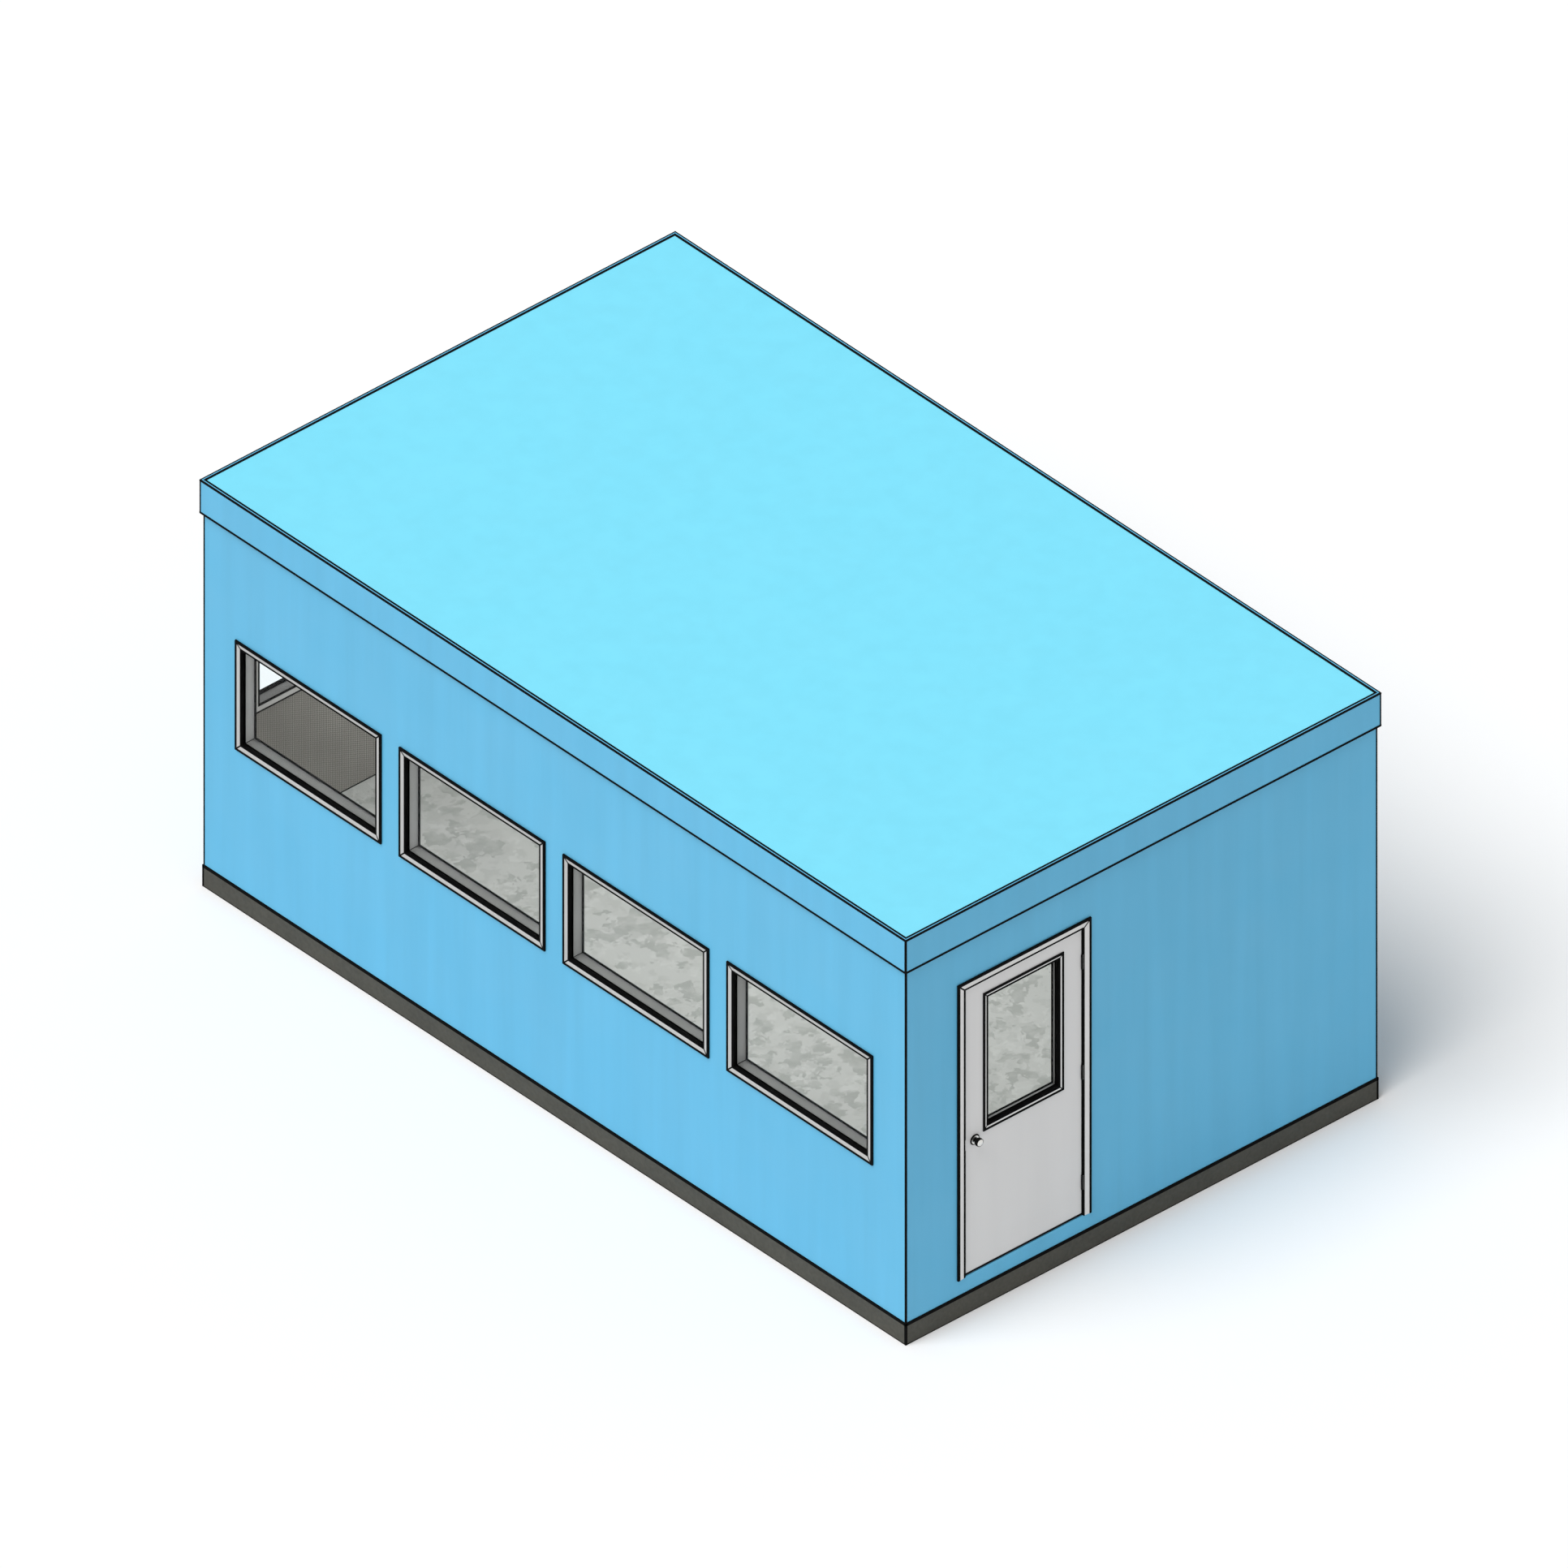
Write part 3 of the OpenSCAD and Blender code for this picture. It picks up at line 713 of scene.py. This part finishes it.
def window_seals():
    """Seals of each window's outer trim, and the liners and sill boards of its reveal, which are darker
    copies of the trim paint as painted shade.
    """
    edges, beads, joints, reveals, liners, sills = (bmesh.new() for _ in range(6))
    proud, dish, end = TRIM_PROUD / MM, TRIM_DISH / MM, REVEAL_END / MM
    rim = strip(-7.5, 8.5, -0.5, proud + 1.5, 1.5)
    bead = strip(-3.5, 6.5, dish - 3, dish + 2, 0.8)
    end_strip = strip(-13, 0.5, -end - 1, 7 - end, 0.8)
    for wall, name in WINDOW_WALLS:
        seats = [box for box in solids("window_gaskets") if wall.holds(box)]
        for trim, seat in zip(solids(f"{name}_window_frames"), seats):
            outer, clear = wall.rectangle(trim), wall.rectangle(seat)
            trim_w = clear[0] - outer[0]
            sweep(edges, ring_corners(wall, outer), wall.out, rim)
            sweep(beads, ring_corners(wall, clear), wall.out, bead)
            face = ((trim_w, TRIM_PROUD), (trim_w - TRIM_RIM, TRIM_PROUD), (0.0, TRIM_DISH))
            mitre_joints(joints, wall, clear, face, ALL_CORNERS, JOINT_W)
            sweep(reveals, ring_corners(wall, clear), wall.out, end_strip)
            start = wall.depth(seat)
            reveal_corners(reveals, wall, clear, start)
            lower_left, lower_right, upper_right, upper_left = ring_corners(wall, clear)
            folded = [lower_right, upper_right, upper_left, lower_left]
            liner = strip(-0.8, 0.4, 6 - end, -start / MM, 0.3)
            sweep(liners, folded, wall.out, liner, closed=False)
            board = strip(-1.6, 0.4, 6 - end, -start / MM, 0.5)
            sweep(sills, [lower_left, lower_right], wall.out, board, closed=False)
    seal("window_edge_seals", edges)
    seal("window_glazing_beads", beads)
    seal("window_mitre_joints", joints)
    seal("window_reveal_seals", reveals)
    # The liners and sill boards are thin sheets over the reveal that carry the painted shade.
    piece("window_liners", liners, "trim_paint", finish=REVEAL_SHADE_PAINT)
    piece("window_sill_boards", sills, "trim_paint", finish=SILL_SHADE_PAINT)


def inner_trim_seals():
    """Seals round the outer edges of the trims on the room side."""
    bm = bmesh.new()
    for wall, _ in WINDOW_WALLS:
        room_side = Elevation(wall.origin, -wall.right, -wall.out)
        for trim in solids("window_inner_trims"):
            if wall.holds(trim):
                face = wall.depth(trim) / MM
                corners = ring_corners(room_side, room_side.rectangle(trim))
                sweep(bm, corners, room_side.out, strip(-9, 1.5, face - 9, face + 1, 0.8))
    seal("window_inner_trim_seals", bm)


def reveal_corners(bm, wall, clear, start):
    """Sealant in the four corners of a reveal, from a depth to the reveal's end."""
    leg, heel = 6 * MM, 2.4 * MM
    left, right, bottom, top = clear
    for x, x_sign in ((left, 1), (right, -1)):
        for z, z_sign in ((bottom, 1), (top, -1)):
            spots = ((0, 0), (leg, 0), (heel, heel), (0, leg))
            base = [wall.point(x + x_sign * a, z + z_sign * b, -start) for a, b in spots]
            prism(bm, base, wall.out * (start - REVEAL_END + 1 * MM))


window_seals()
inner_trim_seals()


# Seals of the door set


def door_path(rectangle):
    """Up the hinge side of the doorway, over the head and down the latch side."""
    left, right, bottom, top = rectangle
    spots = ((right, bottom), (right, top), (left, top), (left, bottom))
    return [RIGHT.point(x, z) for x, z in spots]


def casing_seals():
    """Seals round the casing's outer and inner edges, and its two mitres."""
    proud, dish = CASING_PROUD / MM, CASING_DISH / MM
    left, right, bottom, top = DOORWAY
    outer = (left - CASING_W, right + CASING_W, bottom, top + CASING_W)
    edges = bmesh.new()
    sweep(edges, door_path(outer), RIGHT.out, strip(-8, 8.5, -0.5, proud + 1.5, 1.5), closed=False)
    inner = door_path(DOORWAY)
    sweep(edges, inner[:2], RIGHT.out, strip(0.3, 8.5, dish - 2, dish + 2.2, 0.8), closed=False)
    sweep(edges, inner[1:], RIGHT.out, strip(0.3, 12.5, dish - 2, dish + 2.2, 0.8), closed=False)
    seal("door_casing_seals", edges)

    joints = bmesh.new()
    face = ((CASING_W, CASING_PROUD), (CASING_W - TRIM_RIM, CASING_PROUD), (0.0, CASING_DISH))
    mitre_joints(joints, RIGHT, DOORWAY, face, ("upper right", "upper left"), JOINT_W)
    seal("door_mitre_joints", joints)


def jamb_strips():
    """Weatherstrips on the jambs, cut round the hinges and the strike plate."""
    left, right, _, top = DOORWAY
    thick, clear, deep = 3 * MM, 2 * MM, 30 * MM
    foot = SILL_HIGH.z
    bm = bmesh.new()
    cuts = [foot]
    for low, high in sorted(solids("door_frame_hinges"), key=lambda box: box[0].z):
        cuts += [low.z - clear, high.z + clear]
    cuts.append(top)
    for start, end in zip(cuts[::2], cuts[1::2]):
        base = [RIGHT.point(x, start, out) for x, out in upright_strip(right - thick, right, deep)]
        prism(bm, base, UP * (end - start))
    for start, end in ((foot, KNOB_Z - STRIKE_HALF), (KNOB_Z + STRIKE_HALF, top)):
        base = [RIGHT.point(x, start, out) for x, out in upright_strip(left, left + thick, deep)]
        prism(bm, base, UP * (end - start))
    seal("door_jamb_strips", bm)


def upright_strip(near, far, deep):
    """The section of a strip on a jamb, from the casing's edge inwards."""
    lip = CASING_DISH + 1 * MM
    return ((near, lip), (far, lip), (far, -deep), (near, -deep))


def lite_seals():
    """Seals of the glass in the leaf, and the liner behind it, painted darker than the casing as shade in
    the lite's reveal.
    """
    edges, beads, joints, liner = (bmesh.new() for _ in range(4))
    proud, dish, end = LITE_PROUD / MM, LITE_DISH / MM, LITE_END / MM
    trim = LEAF.rectangle((LITE_LOW, LITE_HIGH))
    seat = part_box("door_lite_gasket")
    clear, start = LEAF.rectangle(seat), LEAF.depth(seat) / MM
    sweep(edges, ring_corners(LEAF, trim), LEAF.out, strip(-8, 7.5, -0.5, proud + 1.2, 1.2))
    sweep(beads, ring_corners(LEAF, clear), LEAF.out, strip(-2.5, 8, dish - 3, dish + 2, 0.8))
    sweep(beads, ring_corners(LEAF, clear), LEAF.out, strip(-13, 0.3, -end - 1, 4 - end, 0.8))
    sweep(liner, ring_corners(LEAF, clear), LEAF.out, strip(-0.8, 0.3, 3 - end, -start, 0.3))
    trim_w = clear[0] - trim[0]
    face = ((trim_w, LITE_PROUD), (trim_w - TRIM_RIM, LITE_PROUD), (0.0, LITE_DISH))
    mitre_joints(joints, LEAF, clear, face, ALL_CORNERS, LITE_JOINT_W)
    seal("door_lite_edge_seal", edges, "door")
    seal("door_lite_beads", beads, "door")
    seal("door_lite_mitre_joints", joints, "door")
    piece("door_lite_liner", liner, "casing_paint", "door", finish=REVEAL_SHADE_PAINT)


def door_sweep():
    """A rubber strip along the foot of the leaf."""
    inset = 2 * MM
    bm = bmesh.new()
    run = [LEAF.point(y, LEAF_LOW.z) for y in (LEAF_HIGH.y - inset, LEAF_LOW.y + inset)]
    sweep(bm, run, LEAF.out, strip(-2.5, 9, -0.5, 3.5, 1), closed=False)
    seal("door_sweep", bm, "door")


casing_seals()
jamb_strips()
lite_seals()
door_sweep()


# Knob and roses

KNOB_SIDES = (
    (Vector((LEAF_HIGH.x, KNOB_Y, KNOB_Z)), Vector((1, 0, 0))),
    (Vector((LEAF_LOW.x, KNOB_Y, KNOB_Z)), Vector((-1, 0, 0))),
)
ROUND = math.radians(40)


def roses():
    """A plate with a dark rim round the neck, on each face of the leaf."""
    rim = [(36.0, 0.0), (36.0, 1.2), (35.2, 2.2), (33.6, 2.8), (32.6, 4.1), (30.6, 4.8), (27.0, 6.2)]
    disc = [(27.0, 6.2), (25.0, 7.0), (23.2, 7.7), (21.0, 8.0), (13.5, 8.0), (12.2, 7.6), (11.4, 6.6),
            (11.2, 4.0)]
    rims, plates = bmesh.new(), bmesh.new()
    for spot, axis in KNOB_SIDES:
        for bm, profile in ((rims, rim), (plates, disc)):
            first, last = lathe(bm, spot, axis, in_metres(profile))
            join_rings(bm, last, first)
    piece("knob_rose_rims", rims, "hinge_steel", "door", smooth_angle=ROUND)
    made = piece("knob_roses", plates, "knob_metal", "door", smooth_angle=ROUND)
    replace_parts(made, "door_knob_roses")


def knob():
    """A dark knob with a domed metal face on each side: a key plug outside and a turn button inside."""
    ball_middle, ball_r = 37.0, 27.0
    neck = [(11.0, 0.0), (11.0, 9.4), (11.3, 10.6), (12.1, 11.8)]
    flank = neck + arc(ball_middle, ball_r, 29.5, 104.0, 18)
    brim = [(25.9, 46.4), (25.5, 48.1), (24.7, 49.3), (23.6, 49.8), (22.8, 49.6), (22.3, 49.0)]
    dome = [(22.3, 49.0), (21.8, 49.8), (20.4, 51.5), (18.0, 53.5), (15.2, 55.2), (12.2, 56.6),
            (9.8, 57.4)]
    plug = [(9.7, 58.2), (9.5, 58.9), (9.2, 59.15), (8.6, 59.2)]
    socket = [(9.6, 57.2), (8.6, 57.2)]
    key_slot = ((0.9, 4.5, 0.0), (0.85, 4.4, -3.0))
    turn_button = ((2.0, 7.5, 0.0), (2.0, 7.5, 5.9), (1.7, 7.1, 7.3))
    grips, faces = bmesh.new(), bmesh.new()
    for (spot, axis), tip, levels in zip(KNOB_SIDES, (plug, socket), (key_slot, turn_button)):
        for ring in lathe(grips, spot, axis, in_metres(flank + brim)):
            grips.faces.new(ring)
        first, last = lathe(faces, spot, axis, in_metres(dome + tip))
        faces.faces.new(first)
        for half_w, half_h, rise in levels:
            middle = spot + axis * (tip[-1][1] + rise) * MM
            last = oval_step(faces, last, middle, axis, half_w * MM, half_h * MM)
        faces.faces.new(last)
    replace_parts(piece("knob_grips", grips, "hinge_steel", "knob", smooth_angle=ROUND), "door_knob")
    piece("knob_faces", faces, "knob_metal", "knob", smooth_angle=ROUND)


def oval_step(bm, ring, middle, axis, half_w, half_h):
    """Joins a ring to a slim upright oval and returns the oval."""
    power = 4
    side = UP.cross(axis)
    made = []
    for vert in ring:
        away = vert.co - middle
        angle = math.atan2(away.z, away.dot(side))
        level, rise = math.cos(angle), math.sin(angle)
        reach = ((abs(level) / half_w) ** power + (abs(rise) / half_h) ** power) ** (-1 / power)
        made.append(bm.verts.new(middle + (side * level + UP * rise) * reach))
    join_rings(bm, ring, made)
    return made


roses()
knob()


# Hinge screws, lock plates and threshold

LOCK_X = (LEAF_LOW.x + LEAF_HIGH.x) / 2
LEAF_EDGE = Elevation((LOCK_X, LEAF_LOW.y, 0), (1, 0, 0), (0, -1, 0))
JAMB_FACE = Elevation((LOCK_X, SILL_LOW.y, 0), (-1, 0, 0), (0, 1, 0))
HINGE_PLATE_T, HINGE_PLATE_W = 2.4 * MM, 38 * MM


def screw(bm, spot, axis):
    """A flat slotted screw head."""
    head = [(4.6, -0.3), (4.6, 0.15), (4.2, 0.38), (3.4, 0.5)]
    first, last = lathe(bm, spot, axis, in_metres(head), 24)
    bm.faces.new(first)
    for half_w, half_h, rise in ((0.5, 2.7, 0.5), (0.45, 2.6, 0.1)):
        last = oval_step(bm, last, spot + axis * rise * MM, axis, half_w * MM, half_h * MM)
    bm.faces.new(last)


def hinge_screws():
    """Four screw heads on each hinge plate."""
    sides = (
        ("door_frame_hinges", "building", SILL_HIGH.y - HINGE_PLATE_T, Vector((0, -1, 0))),
        ("door_leaf_hinges", "door", LEAF_HIGH.y + HINGE_PLATE_T, Vector((0, 1, 0))),
    )
    spots = ((-8, -38), (8, -13), (8, 13), (-8, 38))
    for node, body, face, axis in sides:
        bm = bmesh.new()
        for low, high in solids(node):
            middle = Vector((low.x + HINGE_PLATE_W / 2, face, (low.z + high.z) / 2))
            for x, z in in_metres(spots):
                screw(bm, middle + Vector((x, 0, z)), axis)
        piece(node + "_screws", bm, "knob_metal", body, smooth_angle=ROUND)


def plate(bm, elevation, levels):
    """A plate with round corners about the lock's height. Returns its first ring and its last.

    levels holds (left, right, half height, height off the face), in millimetres."""
    radius = 4.0
    rings = []
    for left, right, half_h, out in levels:
        corners = strip(left, right, -half_h, half_h, radius)
        rings.append([bm.verts.new(elevation.point(x, KNOB_Z + z, out * MM)) for x, z in corners])
    for near, far in zip(rings, rings[1:]):
        join_rings(bm, near, far)
    return rings[0], rings[-1]


def lock_plates():
    """A face plate with its latch on the leaf's edge, and a strike plate with a lip on the jamb."""
    face_thick, strike_thick = 1.1, 1.2
    face_screw, strike_screw = 22 * MM, 25 * MM
    latch_h = 20 * MM
    bm = bmesh.new()
    levels = ((-12.7, 12.7, 28.6, -0.3), (-12.7, 12.7, 28.6, 0.8), (-12.3, 12.3, 28.2, face_thick))
    for ring in plate(bm, LEAF_EDGE, levels):
        bm.faces.new(ring)
    for z in (-face_screw, face_screw):
        screw(bm, LEAF_EDGE.point(0, KNOB_Z + z, face_thick * MM), LEAF_EDGE.out)
    latch = in_metres(((-6, 0.5), (6, 0.5), (6, 3.4), (2, 3.4), (-6, 1.6)))
    prism(bm, [LEAF_EDGE.point(x, KNOB_Z - latch_h / 2, out) for x, out in latch], UP * latch_h)
    piece("lock_face_plate", bm, "threshold_metal", "door", smooth_angle=ROUND)

    bm = bmesh.new()
    outer = ((-32, 13, 35, -0.3), (-32, 13, 35, 0.9), (-31.6, 12.6, 34.6, strike_thick))
    hole = ((-8, 8, 13, strike_thick), (-8, 8, 13, -0.3))
    first, last = plate(bm, JAMB_FACE, outer + hole)
    join_rings(bm, last, first)
    for z in (-strike_screw, strike_screw):
        screw(bm, JAMB_FACE.point(0, KNOB_Z + z, strike_thick * MM), JAMB_FACE.out)
    piece("lock_strike_plate", bm, "threshold_metal", smooth_angle=ROUND)
    # A thin black sheet in the strike plate's opening, as painted shade for the pocket behind it.
    bm = bmesh.new()
    for ring in plate(bm, JAMB_FACE, ((-9, 9, 14, -0.3), (-9, 9, 14, 0.3))):
        bm.faces.new(ring)
    seal("lock_strike_pocket", bm)


def threshold():
    """A fluted plate across the doorway."""
    flutes, nose, nose_drop = 12, 3 * MM, 1.5 * MM
    deep, thick = SILL_HIGH.x - SILL_LOW.x, SILL_HIGH.z - SILL_LOW.z
    flute_w, flute_d = (deep - 2 * nose) / flutes, 0.9 * MM
    section = [(0, 0), (deep, 0), (deep, thick - nose_drop), (deep - nose, thick)]
    for i in range(flutes):
        crest = deep - nose - i * flute_w
        for share, drop in ((0.3, 0.0), (0.45, 1.0), (0.85, 1.0), (1.0, 0.0)):
            section.append((crest - share * flute_w, thick - drop * flute_d))
    section.append((0, thick - nose_drop))
    base = [SILL_LOW + Vector((x, 0, z)) for x, z in section]
    bm = bmesh.new()
    prism(bm, base, Vector((0, SILL_HIGH.y - SILL_LOW.y, 0)))
    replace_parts(piece("fluted_threshold", bm, "threshold_metal"), "door_threshold")


hinge_screws()
lock_plates()
threshold()


# Stage: floor, lights and camera

AZIMUTH, ELEVATION = math.radians(48.206), math.radians(35.757)
FRAME_PIXELS, PIXELS_PER_METRE = 1932, 212.95
AIM_RIGHT, AIM_UP = -0.0371, 1.2050
CAMERA_DISTANCE = 20.0
CAMERA_REACH = 200.0
SUN_STRENGTH, SUN_WIDTH = 2.25, math.radians(40)
SUN_DIRECTION = (0, 0.46, -0.88)
ROOM_WATTS = 90
ROOM_LIGHT_SHARE = (0.95, 0.75)
ROOM_LIGHT_SHIFT = 0.1
ROOM_LIGHT_DROP = 30 * MM
SKY_LIGHT, SKY_SEEN = 0.39, 1.0
FLOOR_GREY = (0.9, 0.9, 0.9)
FLOOR_HALF, FLOOR_Z = 40.0, -0.5 * MM


def camera():
    """A parallel camera with the photograph's direction, scale and framing."""
    level = math.cos(ELEVATION)
    back = Vector((math.sin(AZIMUTH) * level, -math.cos(AZIMUTH) * level, math.sin(ELEVATION)))
    right = Vector((math.cos(AZIMUTH), math.sin(AZIMUTH), 0))
    up = back.cross(right)
    data = bpy.data.cameras.new("camera")
    data.type = "ORTHO"
    data.ortho_scale = FRAME_PIXELS / PIXELS_PER_METRE
    data.clip_end = CAMERA_REACH
    made = bpy.data.objects.new("camera", data)
    place = Matrix((right, up, back)).transposed().to_4x4()
    place.translation = right * AIM_RIGHT + up * AIM_UP + back * CAMERA_DISTANCE
    made.matrix_world = place
    bpy.context.scene.collection.objects.link(made)
    bpy.context.scene.camera = made


def lamp(name, kind, energy, direction, **settings):
    """A lamp that shines along a direction."""
    data = bpy.data.lights.new(name, kind)
    data.energy = energy
    for key, value in settings.items():
        setattr(data, key, value)
    made = bpy.data.objects.new(name, data)
    made.rotation_mode = "QUATERNION"
    made.rotation_quaternion = Vector(direction).to_track_quat("-Z", "Y")
    bpy.context.scene.collection.objects.link(made)
    return made


def lights():
    """A wide soft sun, and a panel under the ceiling that lights the room."""
    lamp("soft_sun", "SUN", SUN_STRENGTH, SUN_DIRECTION, angle=SUN_WIDTH)
    spread = ROOM_HIGH - ROOM_LOW
    room = lamp("room_light", "AREA", ROOM_WATTS, (0, 0, -1), shape="RECTANGLE")
    room.data.size = ROOM_LIGHT_SHARE[0] * spread.x
    room.data.size_y = ROOM_LIGHT_SHARE[1] * spread.y
    room.location = (0, ROOM_LIGHT_SHIFT * spread.y, WALL_HIGH.z - ROOM_LIGHT_DROP)
    room.visible_camera = False
    room.visible_glossy = False
    room.visible_transmission = False


def seen_plainly(tree):
    """1 where the camera looks, also in reflections and through glass, and 0 for other light."""
    path = tree.nodes.new("ShaderNodeLightPath")
    seen = path.outputs["Is Camera Ray"]
    for name in ("Is Glossy Ray", "Is Transmission Ray"):
        either = tree.nodes.new("ShaderNodeMath")
        either.operation = "MAXIMUM"
        tree.links.new(seen, either.inputs[0])
        tree.links.new(path.outputs[name], either.inputs[1])
        seen = either.outputs[0]
    return seen


def world():
    """White to the camera and in reflections, and a softer white light on surfaces."""
    made = bpy.data.worlds.new("studio")
    bpy.context.scene.world = made
    made.use_nodes = True
    tree = made.node_tree
    tree.nodes.clear()
    mix = tree.nodes.new("ShaderNodeMixShader")
    tree.links.new(seen_plainly(tree), mix.inputs[0])
    for socket, strength in ((1, SKY_LIGHT), (2, SKY_SEEN)):
        light = tree.nodes.new("ShaderNodeBackground")
        light.inputs["Color"].default_value = (1, 1, 1, 1)
        light.inputs["Strength"].default_value = strength
        tree.links.new(light.outputs[0], mix.inputs[socket])
    output = tree.nodes.new("ShaderNodeOutputWorld")
    tree.links.new(mix.outputs[0], output.inputs["Surface"])


def floor():
    """A pale floor just under the base, white where it is seen without shadow."""
    half = FLOOR_HALF
    corners = ((-half, -half), (half, -half), (half, half), (-half, half))
    bm = bmesh.new()
    bm.faces.new([bm.verts.new((x, y, FLOOR_Z)) for x, y in corners])
    mesh = bpy.data.meshes.new("floor")
    bm.to_mesh(mesh)
    bm.free()
    pale = Finish("pale_floor", FLOOR_GREY, 1.0, specular=0.0)
    pale.color(pale.mix(seen_plainly(pale.tree), (*FLOOR_GREY, 1), (1, 1, 1, 1)))
    mesh.materials.append(pale.material)
    made = bpy.data.objects.new("floor", mesh)
    bpy.context.scene.collection.objects.link(made)


camera()
lights()
world()
floor()
bpy.context.scene.view_settings.view_transform = "Standard"
